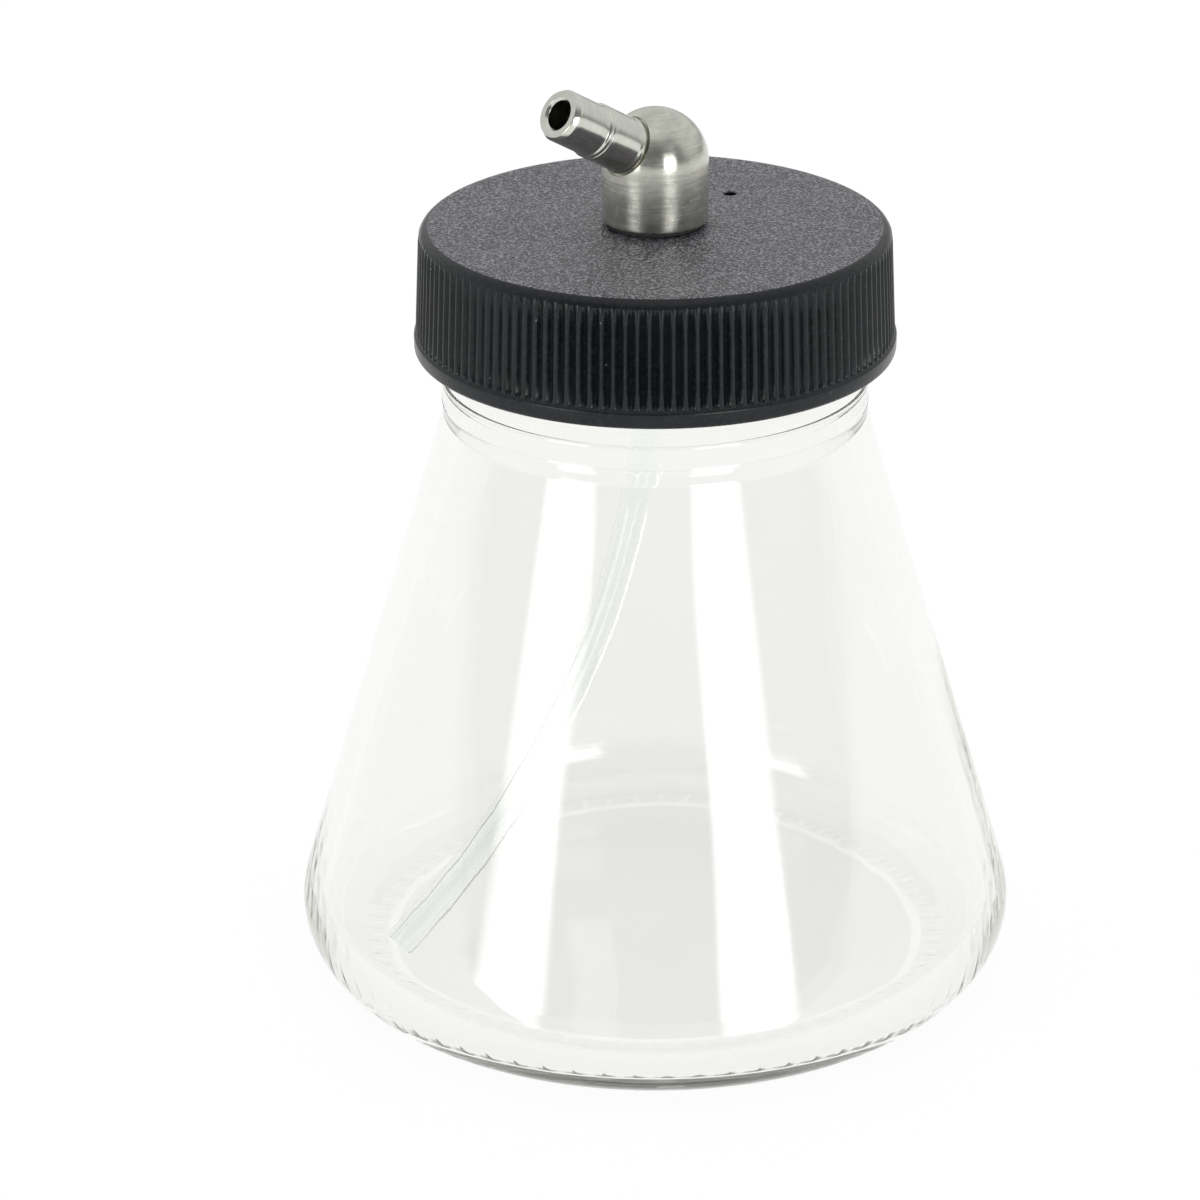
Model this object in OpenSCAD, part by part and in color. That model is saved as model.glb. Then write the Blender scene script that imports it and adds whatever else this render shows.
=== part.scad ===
// Siphon-feed paint bottle for an airbrush: glass jar, ribbed screw cap and angled metal siphon fitting.
// Millimetres. +Z is up, the origin is the centre of the jar's foot, and the spout points along -Y.

/* [Jar] */
// Largest outer radius of the jar, at the top of its heel
jar_r = 30.6; // [29.6:0.2:32]
// Radius of the rounded heel
heel_r = 5.5; // [4.5:0.5:6.5]
// Slope of the conical wall from the vertical
cone_angle = 16.6; // [16.2:0.1:17]
// Wall thickness of the cone
wall_t = 2.1; // [1.8:0.1:2.3]
// Thickness of the glass floor
floor_t = 2.2; // [2:0.2:3.4]
// Height of the push-up under the floor
push_up = 1.5; // [0.8:0.1:2]

/* [Neck] */
// Height of the rim that the seal sits on
rim_z = 63.5; // [63.5:0.5:66]
// Outer radius of the neck between its thread turns
neck_r = 17; // [16.8:0.1:17.1]
// Radius of the mouth
mouth_r = 15.3; // [15:0.1:15.5]
// Radius of the collar below the cap
collar_r = 17.65; // [17.4:0.05:18]

/* [Thread] */
// Rise of the thread in one turn
pitch = 4.233; // [4.2:0.001:4.3]
// Radial clearance between each crest and the wall that faces it
thread_gap = 0.25; // [0.2:0.05:0.3]
// Height of the thread ridges
thread_h = 1.15; // [1:0.05:1.15]

/* [Cap] */
// Outer radius of the plain band at the cap's lower edge
cap_r = 19.88; // [19.8:0.02:20.2]
// Overall height of the cap
cap_h = 10.45; // [10.4:0.05:10.5]
// Thickness of the cap's top
cap_top_t = 1.3; // [1.2:0.1:1.4]
// Height of the plain band at the lower edge
band_h = 1.3; // [1:0.1:1.6]
// Number of grip ribs
ribs = 129; // [96:3:144]
// Height of a rib above the cap's side
rib_h = 0.35; // [0.2:0.05:0.4]
// Diameter of the vent hole in the cap
vent_d = 1.1; // [0.8:0.1:1.5]
// Distance from the cap's axis to the vent hole
vent_at = 9.9; // [8:0.1:11]

/* [Siphon fitting] */
// Radius of the fitting's body and of its ball end
ball_r = 4.35; // [4:0.05:4.6]
// Height of the ball's centre above the cap
ball_rise = 5.33; // [5:0.1:7]
// Angle of the spout above the horizontal
spout_angle = 30; // [25:1:40]
// Distance from the ball's centre to the spout's end
spout_len = 11.7; // [11:0.1:14]
// Radius of the spigot at the spout's end
spigot_r = 2.15; // [2:0.05:2.3]
// Radius of the spout beside the ball
spout_r = 2.32; // [2.3:0.02:2.5]
// Radius of the spout's bore
spout_bore_r = 1.2; // [0.9:0.1:1.4]
// Radius of the threaded shank through the cap
shank_r = 3; // [2.8:0.1:3.2]

/* [Dip tube] */
// Outer radius of the dip tube
tube_r = 1.3; // [1.1:0.1:1.4]
// Radius of the dip tube's bore
tube_bore_r = 0.8; // [0.6:0.1:0.9]
// Radius of the dip tube's bend
bend_r = 71.9; // [71.9:0.1:74]
// Turn of the bend from the vertical
bend_angle = 48; // [44:0.5:48]
// Direction that the dip tube leans in, counter-clockwise from +X
tube_azimuth = 255.5; // [200:0.5:330]

/* [Hidden] */
$fn = 96;

// Jar: the cone is the line r * cos + z * sin = cone_k, and the heel is a circle that touches it.
heel_at = jar_r - heel_r;
cone_k = heel_at * cos(cone_angle) + heel_r * sin(cone_angle) + heel_r;
bore_k = cone_k - wall_t;
inner_heel_r = 4;
inner_heel_z = floor_t + inner_heel_r;
inner_heel_at = (bore_k - inner_heel_r - inner_heel_z * sin(cone_angle)) / cos(cone_angle);
foot_in = 22.5;
push_up_slope = 4;
collar_top = 53.1;
collar_round = 0.4;
collar_step = 0.25;
rim_round = 0.75;

// Overshoot of every cut, lap of joined solids, and size of small chamfers.
over = 1;
lap = 0.1;
chamfer = 0.25;

// Thread: the jar's ridge starts at thread_z, and the cap's ridge runs on the same helix,
// cap_thread_drop below it. Each ridge's root is sunk in its wall by thread_sink.
thread_z = 57;
thread_sink = 0.3;
crest_w = 0.9;
root_w = 2.2;
jar_thread_end = 405;
cap_crest_w = 0.7;
cap_root_w = 1.7;
cap_thread_start = 90;
cap_thread_end = 432;
cap_thread_drop = 1.56;
bore_r = neck_r + thread_h + thread_gap;

// Cap and seal, stacked on the rim.
seal_t = 1;
running_gap = 0.03;
seal_room = 0.07;
seal_r = bore_r - 0.4;
seal_in = 14;
cap_ceiling = rim_z + seal_t + seal_room;
cap_top = cap_ceiling + cap_top_t;
cap_foot = cap_top - cap_h;
band_top = cap_foot + band_h;
band_proud = 0.68;
band_chamfer = 0.2;
side_r = cap_r - band_proud;
cap_round = 0.95;
rib_top = cap_top - 1;
rib_sink_r = bore_r + 0.3;
vent_azimuth = 100.6;
shank_hole_r = shank_r + 0.1;

// Fitting above the cap, nut and washer below it.
gasket_t = 0.3;
gasket_r = ball_r - 0.35;
body_z = cap_top + running_gap + gasket_t;
ball_z = cap_top + ball_rise;
washer_t = 0.8;
nut_t = 2.8;
nut_flats = 10;
washer_r = nut_flats / 2 + 1;
ring_in = shank_r + 0.05;
washer_z = cap_ceiling - running_gap - washer_t;
nut_z = washer_z - nut_t;
shank_z = nut_z - 0.6;
shank_chamfer = 0.4;
passage_r = 1;
socket_at = 1.8;
lip_at = ball_r - 1.05;
lip_r = spout_r + 0.18;
spigot_len = 3.9;
step_at = spout_len - spigot_len;
step_chamfer = 0.2;
tube_top = shank_z + 4;
bend_z = 58.5;

// Points of an arc about [cr, cz], from angle a0 to angle a1.
function arc(cr, cz, r, a0, a1, n) =
    [for (i = [0:n]) let (a = a0 + (a1 - a0) * i / n) [cr + r * cos(a), cz + r * sin(a)]];

// One cross-section of a thread ridge. full runs from 0 at the ridge's ends to 1 along its length.
function ridge_ring(a, z, root, crest, root_width, crest_width, full) =
    let (r = root + (crest - root) * full, w = crest_width + (root_width - crest_width) * full)
    [for (p = [[root, -w], [r, -crest_width], [r, crest_width], [root, w]])
        [p[0] * cos(a), p[0] * sin(a), z + p[1] / 2]];

// A helical ridge about Z: its root is sunk in a wall at radius root, and its crest is at radius crest.
module thread_ridge(a0, a1, z0, root, crest, root_width, crest_width) {
    step = 9;
    n = round((a1 - a0) / step);
    inward = crest < root;
    points = [for (i = [0:n])
        let (a = a0 + step * i, full = max(0.05, min(1, i / 3, (n - i) / 3)))
        each ridge_ring(a, z0 + pitch * a / 360, root, crest, root_width, crest_width, full)];
    sides = [for (i = [0:n - 1], k = [0:3])
        let (p = 4 * i + k, q = 4 * i + (k + 1) % 4)
        each inward ? [[p, p + 4, q], [q, p + 4, q + 4]] : [[p, q, p + 4], [q, q + 4, p + 4]]];
    ends = inward
        ? [[0, 1, 2], [0, 2, 3], [4 * n, 4 * n + 2, 4 * n + 1], [4 * n, 4 * n + 3, 4 * n + 2]]
        : [[0, 2, 1], [0, 3, 2], [4 * n, 4 * n + 1, 4 * n + 2], [4 * n, 4 * n + 2, 4 * n + 3]];
    polyhedron(points, concat(sides, ends), convexity = 8);
}

module glass_jar() {
    outline = concat(
        [[0, push_up], [foot_in - push_up_slope, push_up], [foot_in, 0]],
        arc(heel_at, heel_r, heel_r, -90, cone_angle, 14),
        [[collar_r, (cone_k - collar_r * cos(cone_angle)) / sin(cone_angle)]],
        arc(collar_r - collar_round, collar_top - collar_round, collar_round, 0, 90, 4),
        [[neck_r, collar_top + collar_step]],
        arc(neck_r - rim_round, rim_z - rim_round, rim_round, 0, 90, 5),
        arc(mouth_r + rim_round, rim_z - rim_round, rim_round, 90, 180, 5),
        [[mouth_r, (bore_k - mouth_r * cos(cone_angle)) / sin(cone_angle)]],
        arc(inner_heel_at, inner_heel_z, inner_heel_r, cone_angle, -90, 10),
        [[foot_in - push_up_slope, floor_t + push_up], [0, floor_t + push_up]]);
    color([0.78, 0.85, 0.80, 0.4]) {
        rotate_extrude() polygon(outline);
        thread_ridge(0, jar_thread_end, thread_z, neck_r - thread_sink, neck_r + thread_h, root_w, crest_w);
    }
}

// Outline of the ribbed band, one tooth for each rib.
module rib_ring() {
    turn = 360 / ribs;
    points = [for (i = [0:ribs - 1], p = [[0, 0], [0.25, rib_h], [0.5, rib_h], [0.75, 0]])
        let (a = turn * (i + p[0]), r = side_r + p[1]) [r * cos(a), r * sin(a)]];
    difference() {
        polygon(points);
        circle(r = rib_sink_r);
    }
}

module screw_cap() {
    outline = concat(
        [[bore_r, cap_foot], [cap_r - band_chamfer, cap_foot], [cap_r, cap_foot + band_chamfer]],
        [[cap_r, band_top], [side_r, band_top]],
        arc(side_r - cap_round, cap_top - cap_round, cap_round, 0, 90, 6),
        [[0, cap_top], [0, cap_ceiling], [bore_r, cap_ceiling]]);
    color([0.09, 0.10, 0.11]) {
        difference() {
            union() {
                rotate_extrude() polygon(outline);
                translate([0, 0, band_top - lap])
                    linear_extrude(height = rib_top - band_top + lap) rib_ring();
            }
            translate([0, 0, cap_ceiling - over]) cylinder(r = shank_hole_r, h = cap_top_t + 2 * over);
            rotate(vent_azimuth) translate([vent_at, 0, cap_ceiling - over])
                cylinder(d = vent_d, h = cap_top_t + 2 * over, $fn = 32);
        }
        thread_ridge(cap_thread_start, cap_thread_end, thread_z - cap_thread_drop,
            bore_r + thread_sink, neck_r + thread_gap, cap_root_w, cap_crest_w);
    }
}

// A flat ring that stands on height z.
module ring(outer, inner, z, t) {
    translate([0, 0, z]) difference() {
        cylinder(r = outer, h = t);
        translate([0, 0, -over]) cylinder(r = inner, h = t + 2 * over);
    }
}

module seal_ring() {
    color([0.86, 0.86, 0.82]) ring(seal_r, seal_in, rim_z, seal_t);
}

// Moves a shape drawn along +Z from the origin onto the spout's axis.
module along_spout() {
    translate([0, 0, ball_z]) rotate([90 - spout_angle, 0, 0]) children();
}

module elbow_body() {
    outline = [[0, shank_z], [shank_r - shank_chamfer, shank_z], [shank_r, shank_z + shank_chamfer],
        [shank_r, body_z], [ball_r - chamfer, body_z], [ball_r, body_z + chamfer], [ball_r, ball_z],
        [0, ball_z]];
    color([0.70, 0.70, 0.67])
        difference() {
            union() {
                rotate_extrude() polygon(outline);
                translate([0, 0, ball_z]) sphere(r = ball_r);
            }
            translate([0, 0, shank_z - over]) cylinder(r = tube_r, h = tube_top - shank_z + over);
            translate([0, 0, shank_z]) cylinder(r = passage_r, h = ball_z - shank_z);
            along_spout() {
                cylinder(r = passage_r, h = ball_r);
                translate([0, 0, socket_at]) cylinder(r = spout_r, h = ball_r);
                translate([0, 0, lip_at]) cylinder(r = lip_r, h = ball_r);
            }
        }
}

module spout_tube() {
    outline = [[spout_bore_r, socket_at], [spout_r, socket_at], [spout_r, step_at - step_chamfer],
        [spigot_r, step_at], [spigot_r, spout_len - chamfer], [spigot_r - chamfer, spout_len],
        [spout_bore_r + chamfer, spout_len], [spout_bore_r, spout_len - chamfer]];
    color([0.78, 0.78, 0.75]) along_spout() rotate_extrude() polygon(outline);
}

module body_gasket() {
    color([0.12, 0.12, 0.12]) ring(gasket_r, ring_in, cap_top + running_gap, gasket_t);
}

module flat_washer() {
    color([0.66, 0.66, 0.64]) ring(washer_r, ring_in, washer_z, washer_t);
}

module hex_nut() {
    color([0.72, 0.70, 0.62])
        translate([0, 0, nut_z]) difference() {
            cylinder(r = nut_flats / 2 / cos(30), h = nut_t, $fn = 6);
            translate([0, 0, -over]) cylinder(r = shank_r, h = nut_t + 2 * over);
        }
}

// A rod of radius r along the dip tube's route: straight down from z_top, then around the bend.
module tube_route(r, z_top, turn) {
    translate([0, 0, bend_z]) cylinder(r = r, h = z_top - bend_z);
    translate([bend_r, 0, bend_z]) mirror([1, 0, 0]) rotate([-90, 0, 0])
        rotate_extrude(angle = turn) translate([bend_r, 0]) circle(r = r);
}

module dip_tube() {
    color([0.86, 0.88, 0.86, 0.7])
        rotate(tube_azimuth) difference() {
            tube_route(tube_r, tube_top, bend_angle);
            tube_route(tube_bore_r, tube_top + over, bend_angle + over);
        }
}

glass_jar();
screw_cap();
seal_ring();
elbow_body();
spout_tube();
body_gasket();
flat_washer();
hex_nut();
dip_tube();
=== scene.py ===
"""Finished look of a siphon-feed paint bottle for an airbrush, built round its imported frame.

Lengths are metres, +Z is up, the origin is the centre of the jar's foot and the spout points along -Y.
"""

import logging
import math
from dataclasses import dataclass, field
from enum import Enum
from typing import Any, Dict, List, Sequence, Tuple, Union

import bmesh
import bpy
import numpy as np
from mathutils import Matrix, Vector


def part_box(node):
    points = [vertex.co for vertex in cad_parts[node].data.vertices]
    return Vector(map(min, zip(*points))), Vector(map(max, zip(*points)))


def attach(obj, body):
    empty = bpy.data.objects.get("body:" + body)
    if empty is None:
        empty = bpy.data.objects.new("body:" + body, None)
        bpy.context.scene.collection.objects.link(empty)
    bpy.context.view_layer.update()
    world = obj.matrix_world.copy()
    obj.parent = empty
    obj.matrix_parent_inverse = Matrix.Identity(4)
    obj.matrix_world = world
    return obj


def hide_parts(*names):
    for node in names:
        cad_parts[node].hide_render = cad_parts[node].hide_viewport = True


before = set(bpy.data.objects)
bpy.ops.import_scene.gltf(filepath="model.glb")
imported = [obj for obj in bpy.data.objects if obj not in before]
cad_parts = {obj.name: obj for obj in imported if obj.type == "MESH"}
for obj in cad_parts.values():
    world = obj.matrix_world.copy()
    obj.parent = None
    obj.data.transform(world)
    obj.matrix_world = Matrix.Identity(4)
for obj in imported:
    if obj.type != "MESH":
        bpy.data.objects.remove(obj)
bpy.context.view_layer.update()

LOG = logging.getLogger("paint_bottle")
MM = 0.001
Array = np.ndarray
Corner = Tuple[float, float, float]
Colour = Tuple[float, float, float]


# ----------------------------------------
# Shader maths


class Wire:
    """A shader socket that reads like a number in an expression."""

    def __init__(self, graph: "Graph", socket: bpy.types.NodeSocket) -> None:
        """Keeps the socket and the graph that it belongs to."""
        self.graph = graph
        self.socket = socket

    def __add__(self, other: "Term") -> "Wire":
        """self + other."""
        return self.graph.maths("ADD", self, other)

    def __mul__(self, other: "Term") -> "Wire":
        """self * other."""
        return self.graph.maths("MULTIPLY", self, other)

    __radd__ = __add__
    __rmul__ = __mul__

    def between(self, low: float, high: float, start: float = 0.0, end: float = 1.0) -> "Wire":
        """Smooth step from start to end while the value goes from low to high."""
        return self.graph.call(
            "ShaderNodeMapRange",
            {"interpolation_type": "SMOOTHSTEP"},
            {"Value": self, "From Min": low, "From Max": high, "To Min": start, "To Max": end},
            "Result",
        )


Term = Union[Wire, float, Sequence[float]]


class Graph:
    """The node tree of a material, world or light, with one method for each way of adding to it."""

    def __init__(self, owner: Union[bpy.types.Material, bpy.types.World, bpy.types.Light]) -> None:
        """Turns the owner's nodes on and empties its tree."""
        owner.use_nodes = True
        self.tree = owner.node_tree
        self.tree.nodes.clear()

    def node(self, kind: str, settings: Dict[str, Any], inputs: Dict[Any, Term]) -> bpy.types.Node:
        """Adds a node.

        Args:
            kind: the node's type name.
            settings: attributes set before the inputs, such as an operation.
            inputs: socket name or number to a value or a wire.

        Returns:
            The new node.
        """
        made = self.tree.nodes.new(kind)
        for name, value in settings.items():
            setattr(made, name, value)
        for key, value in inputs.items():
            if isinstance(value, Wire):
                self.tree.links.new(value.socket, made.inputs[key])
            else:
                made.inputs[key].default_value = value
        return made

    def call(self, kind: str, settings: Dict[str, Any], inputs: Dict[Any, Term], result: Any = 0) -> Wire:
        """Adds a node and returns one of its outputs as a wire."""
        return Wire(self, self.node(kind, settings, inputs).outputs[result])

    def maths(self, operation: str, *terms: Term) -> Wire:
        """A Math node on one to three terms."""
        return self.call("ShaderNodeMath", {"operation": operation}, dict(enumerate(terms)))

    def vector(self, operation: str, *terms: Term) -> Wire:
        """A Vector Math node on one or more vectors."""
        return self.call("ShaderNodeVectorMath", {"operation": operation}, dict(enumerate(terms)))

    def along(self, way: Wire, axis: Corner) -> Wire:
        """How far a vector reaches along an axis: their dot product."""
        return self.call("ShaderNodeVectorMath", {"operation": "DOT_PRODUCT"}, {0: way, 1: axis}, "Value")

    def blend(self, factor: Term, a: Union[Colour, Wire], b: Union[Colour, Wire]) -> Wire:
        """The colour that goes from a to b as the factor goes from 0 to 1."""
        ends = {key: end if isinstance(end, Wire) else (*end, 1.0) for key, end in ((6, a), (7, b))}
        return self.call("ShaderNodeMix", {"data_type": "RGBA"}, {0: factor, **ends}, 2)

    def place(self, turn: Corner = (0, 0, 0), at: Corner = (0, 0, 0)) -> Wire:
        """Object coordinates, moved so that the point `at` is the origin and then turned by `turn`."""
        spot = self.call("ShaderNodeTexCoord", {}, {}, "Object")
        moved = self.vector("SUBTRACT", spot, at)
        return self.call("ShaderNodeMapping", {}, {"Vector": moved, "Rotation": turn})

    def axes(self, spot: Wire) -> Tuple[Wire, Wire, Wire]:
        """The x, y and z of a vector."""
        made = self.node("ShaderNodeSeparateXYZ", {}, {0: spot})
        return Wire(self, made.outputs[0]), Wire(self, made.outputs[1]), Wire(self, made.outputs[2])

    def joined(self, x: Term, y: Term, z: Term) -> Wire:
        """A vector from three numbers."""
        return self.call("ShaderNodeCombineXYZ", {}, {0: x, 1: y, 2: z})

    def noise(self, spot: Wire, scale: float, detail: float = 2.0, roughness: float = 0.5) -> Wire:
        """Fractal noise from 0 to 1, with `scale` cells to the metre."""
        inputs = {"Vector": spot, "Scale": scale, "Detail": detail, "Roughness": roughness}
        return self.call("ShaderNodeTexNoise", {}, inputs)

    def cells(self, spot: Wire, scale: float, smooth: float = 0.6) -> Wire:
        """Distance to the nearest point of a rounded cell pattern."""
        kind = {"feature": "SMOOTH_F1"}
        return self.call("ShaderNodeTexVoronoi", kind, {"Vector": spot, "Scale": scale, "Smoothness": smooth})

    def bump(self, height: Wire, depth: float) -> Wire:
        """A normal from a height map whose full range is `depth` metres."""
        inputs = {"Height": height, "Distance": depth, "Strength": 1.0}
        return self.call("ShaderNodeBump", {}, inputs, "Normal")

    def surface(self, inputs: Dict[str, Term]) -> None:
        """A Principled shader linked to the output; colours are given as three numbers or a wire."""
        given = {k: (*v, 1.0) if isinstance(v, tuple) and len(v) == 3 else v for k, v in inputs.items()}
        shader = self.call("ShaderNodeBsdfPrincipled", {}, given, "BSDF")
        self.output = self.node("ShaderNodeOutputMaterial", {}, {"Surface": shader})


# ----------------------------------------
# Finishes


class Finish:
    """A material for one kind of surface, worked out with nodes."""

    name = "finish"

    def draw(self, graph: Graph) -> None:
        """Adds the finish's nodes to an empty graph."""
        raise NotImplementedError

    def material(self) -> bpy.types.Material:
        """The finish as a new Blender material."""
        made = bpy.data.materials.new(self.name)
        self.draw(Graph(made))
        return made


@dataclass(frozen=True)
class ClearGlass(Finish):
    """Moulded soda-lime glass, clear in the wall and grey-green where it is thick."""

    name: str = "moulded_glass"
    tint: Colour = (0.968, 0.970, 0.960)
    absorbed: Colour = (0.60, 0.63, 0.52)
    density: float = 20.0
    ior: float = 1.5
    ripple: float = 0.03 * MM
    ripples: float = 55.0
    brighter: float = 0.01

    def draw(self, graph: Graph) -> None:
        """A slow ripple bends the wall, and the volume takes a little red and blue from what passes."""
        slow = graph.noise(graph.place(), self.ripples, 1.0)
        colour = graph.blend(slow, self.tint, tuple(c + self.brighter for c in self.tint))
        graph.surface(
            {
                "Base Color": colour,
                "Roughness": 0.0,
                "IOR": self.ior,
                "Transmission Weight": 1.0,
                "Normal": graph.bump(slow, self.ripple),
            }
        )
        inside = {"Color": (*self.absorbed, 1.0), "Density": self.density}
        volume = graph.call("ShaderNodeVolumeAbsorption", {}, inside)
        graph.tree.links.new(volume.socket, graph.output.inputs["Volume"])


@dataclass(frozen=True)
class GrainedPlastic(Finish):
    """Black moulded plastic with a fine grain from the mould, a little wear, pale flecks in the grain that are
    painted glints of sheen, and a few pale dust specks.
    """

    name: str = "cap_top_plastic"
    colour: Colour = (0.020, 0.019, 0.023)
    worn: Colour = (0.034, 0.032, 0.039)
    # Colour of the pale flecks: painted glints that stand in for sheen on the grain.
    painted_glint: Colour = (0.34, 0.32, 0.37)
    rough: Tuple[float, float] = (0.30, 0.40)
    shine: float = 0.66
    pebble: float = 4000.0
    grain: float = 0.085 * MM
    patches: float = 160.0
    dust: float = 0.0
    dust_colour: Colour = (0.34, 0.34, 0.36)
    dust_cells: float = 1100.0
    dust_patches: float = 900.0

    def draw(self, graph: Graph) -> None:
        """Pebbles are rounded cells broken up by finer noise; a speck is the middle of one cell in many."""
        spot = graph.place()
        fine = graph.noise(spot, self.pebble * 1.6, 2.0)
        pebbles = graph.cells(spot, self.pebble) + fine * 0.6
        # Pale flecks mixed into the colour: painted glints of sheen on the pebbles.
        painted_glints = graph.noise(spot, self.pebble * 1.25, 1.0, 0.7).between(0.46, 0.66)
        wear = graph.noise(spot, self.patches, 3.0).between(0.35, 0.75)
        specks = graph.cells(spot, self.dust_cells, 0.0).between(0.16, 0.06)
        specks = specks * graph.noise(spot, self.dust_patches).between(0.60, 0.66) * self.dust
        tone = graph.blend(wear, self.colour, self.worn)
        graph.surface(
            {
                "Base Color": graph.blend(specks, graph.blend(painted_glints, tone, self.painted_glint), self.dust_colour),
                "Roughness": wear * (self.rough[1] - self.rough[0]) + self.rough[0],
                "Specular IOR Level": self.shine,
                "Normal": graph.bump(pebbles, self.grain),
            }
        )


@dataclass(frozen=True)
class TurnedMetal(Finish):
    """Nickel-plated brass turned on a lathe: fine rings round the axis, with soft mottling."""

    name: str = "turned_metal"
    colour: Colour = (0.68, 0.68, 0.61)
    shade: Colour = (0.50, 0.505, 0.445)
    rough: Tuple[float, float] = (0.20, 0.28)
    spread: float = 0.6
    rings: float = 5200.0
    blotches: float = 900.0
    depth: float = 0.0025 * MM
    turn: Corner = (0.0, 0.0, 0.0)
    at: Corner = (0.0, 0.0, 0.0)

    def draw(self, graph: Graph) -> None:
        """The rings are noise that varies along the axis and hardly around it.

        The finest rings are too small to draw, so the shader spreads its gloss along the axis instead.
        """
        spot = graph.place(self.turn, self.at)
        x, y, z = graph.axes(spot)
        around = graph.joined(x * 0.06, y * 0.06, z)
        rings = graph.noise(around, self.rings, 3.0, 0.6)
        broad = graph.noise(around, self.rings * 0.12, 2.0)
        mottle = graph.noise(spot, self.blotches, 4.0, 0.65)
        mixed = rings * 0.5 + mottle * 0.5
        tone = mixed.between(0.35, 0.68)
        graph.surface(
            {
                "Base Color": graph.blend(tone, self.shade, self.colour),
                "Metallic": 1.0,
                "Anisotropic": self.spread,
                "Anisotropic Rotation": 0.25,
                "Roughness": mixed.between(0.3, 0.7, *self.rough),
                "Normal": graph.bump(rings + broad * 0.8 + mottle * 0.4, self.depth),
            }
        )


@dataclass(frozen=True)
class SoftRubber(Finish):
    """Matt rubber or foam with a fine open grain."""

    name: str = "soft_rubber"
    colour: Colour = (0.018, 0.018, 0.018)
    pale: Colour = (0.045, 0.045, 0.045)
    rough: Tuple[float, float] = (0.6, 0.85)
    grain: float = 3500.0
    depth: float = 0.02 * MM

    def draw(self, graph: Graph) -> None:
        """Fine noise drives the tone, the roughness and a shallow bump."""
        pores = graph.noise(graph.place(), self.grain, 4.0, 0.7)
        graph.surface(
            {
                "Base Color": graph.blend(pores.between(0.3, 0.7), self.colour, self.pale),
                "Roughness": pores.between(0.2, 0.8, *self.rough),
                "Normal": graph.bump(pores, self.depth),
            }
        )


@dataclass(frozen=True)
class MilkyTube(Finish):
    """Extruded soft plastic tube: it lets light through and blurs it a little."""

    name: str = "milky_tube"
    colour: Colour = (0.985, 0.994, 0.988)
    streak: Colour = (0.970, 0.985, 0.977)
    rough: Tuple[float, float] = (0.02, 0.08)
    clear: float = 1.0
    ior: float = 1.34
    streaks: float = 500.0
    squeeze: float = 0.12

    def draw(self, graph: Graph) -> None:
        """Long streaks follow the tube, because the noise is squeezed along the height."""
        x, y, z = graph.axes(graph.place())
        streaks = graph.noise(graph.joined(x, y, z * self.squeeze), self.streaks, 1.0)
        graph.surface(
            {
                "Base Color": graph.blend(streaks.between(0.35, 0.65), self.streak, self.colour),
                "Roughness": streaks.between(0.3, 0.7, *self.rough),
                "IOR": self.ior,
                "Transmission Weight": self.clear,
            }
        )


@dataclass(frozen=True)
class PaleFloor(Finish):
    """Dark matt studio paper that glows: a painted glow, even near the object and fading far from it."""

    name: str = "pale_floor"
    colour: Colour = (0.10, 0.10, 0.10)
    light: Colour = (1.0, 1.0, 1.0)
    far_light: Colour = (0.62, 0.62, 0.62)
    fade: Tuple[float, float] = (0.9, 2.6)
    glow: float = 0.93

    def draw(self, graph: Graph) -> None:
        """A faint tone that no view can pick out as a pattern; the light falls off far from the object."""
        spot = graph.place()
        tone = graph.noise(spot, 3.0, 2.0)
        away = graph.call("ShaderNodeVectorMath", {"operation": "LENGTH"}, {0: spot}, "Value")
        soft = tuple(c * 0.99 for c in self.colour)
        graph.surface(
            {
                "Base Color": graph.blend(tone, soft, self.colour),
                "Roughness": 0.9,
                "Specular IOR Level": 0.1,
                "Emission Color": graph.blend(away.between(*self.fade), self.light, self.far_light),
                "Emission Strength": self.glow,
            }
        )


# ----------------------------------------
# Surfaces


class Edge(Enum):
    """How a grid of points is closed."""

    LOOP = "loop"
    POLES = "poles"


def rounded(corners: Sequence[Corner], step: float = 1.0 * MM, arc: float = 9.0) -> Array:
    """An outline with its corners rounded.

    Each corner is replaced with an arc that touches both of its sides: the arc starts at
    radius * tan(turn / 2) before the corner and ends as far after it.

    Args:
        corners: (radius from the axis, height, fillet) of each corner; the first and last stay as they are.
        step: the longest straight stretch between two points.
        arc: degrees of turn between two points of a fillet.

    Returns:
        An (n, 2) array of (radius, height).
    """
    spots = np.array([c[:2] for c in corners], float)
    points: List[Array] = [spots[0]]
    for before, corner, after, fillet in zip(spots, spots[1:], spots[2:], [c[2] for c in corners[1:-1]]):
        into = (corner - before) / np.linalg.norm(corner - before)
        away = (after - corner) / np.linalg.norm(after - corner)
        turn = math.acos(float(np.clip(into @ away, -1, 1)))
        if fillet <= 0 or turn < 1e-4:
            points.append(corner)
            continue
        side = math.copysign(1.0, into[0] * away[1] - into[1] * away[0])
        start = corner - into * fillet * math.tan(turn / 2)
        centre = start + side * fillet * np.array([-into[1], into[0]])
        spokes = np.linspace(0, side * turn, max(3, int(math.degrees(turn) / arc) + 2))
        first = start - centre
        cosines, sines = np.cos(spokes), np.sin(spokes)
        ring = np.stack([first[0] * cosines - first[1] * sines, first[0] * sines + first[1] * cosines], 1)
        points.extend(centre + ring)
    points.append(spots[-1])
    return refined(np.array(points), step)


def refined(line: Array, step: float) -> Array:
    """The same line with points added so that none are further apart than step."""
    lengths = np.linalg.norm(np.diff(line, axis=0), axis=1)
    counts = np.maximum(1, np.ceil(lengths / step).astype(int))
    parts = [a + (b - a) * (np.arange(n) / n)[:, None] for a, b, n in zip(line, line[1:], counts)]
    return np.concatenate([*parts, line[-1:]])


def smoothstep(low: float, high: float, value: Array) -> Array:
    """0 below low, 1 above high, and 3t^2 - 2t^3 between them."""
    t = np.clip((value - low) / (high - low), 0, 1)
    return t * t * (3 - 2 * t)


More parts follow.
